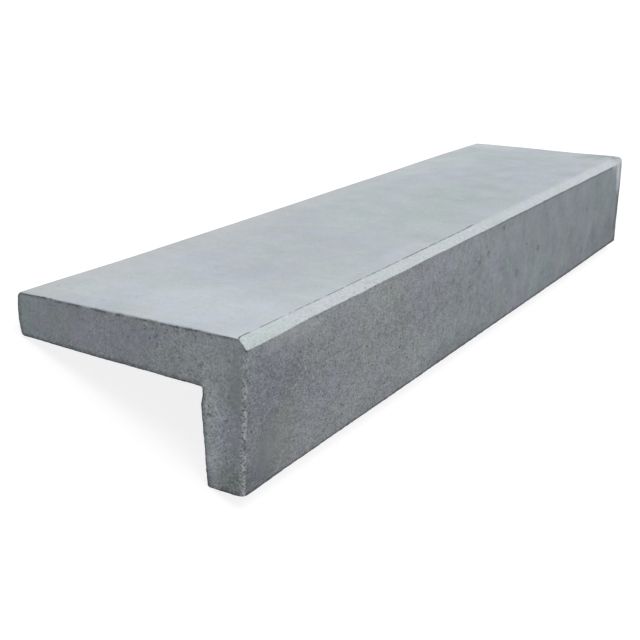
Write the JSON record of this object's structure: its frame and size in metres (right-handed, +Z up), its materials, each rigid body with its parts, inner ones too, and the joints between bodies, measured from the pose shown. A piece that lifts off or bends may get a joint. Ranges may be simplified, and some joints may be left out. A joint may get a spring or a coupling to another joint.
{
  "type": "l-shaped concrete step",
  "caption": "Long L-shaped concrete step, cast whole: a flat tread with a riser dropping from its chamfered front edge, lying as it rests unheld.",
  "frame": {"origin": "centre of the bounding box's base, on the level floor that the step rests on", "axes": "+X along the step's length, +Y from the riser towards the tread's back edge, +Z up. The step lies as it rests unheld, on the riser's inner foot arris and the tread's lower back arris, so its walking face slopes down towards +Y."},
  "size_m": [1.4, 0.341, 0.1674],
  "materials": {
    "concrete": "matte cast concrete with a smoother walking face"
  },
  "bodies": {
    "root": {"l_step": "concrete"}
  },
  "joints": []
}
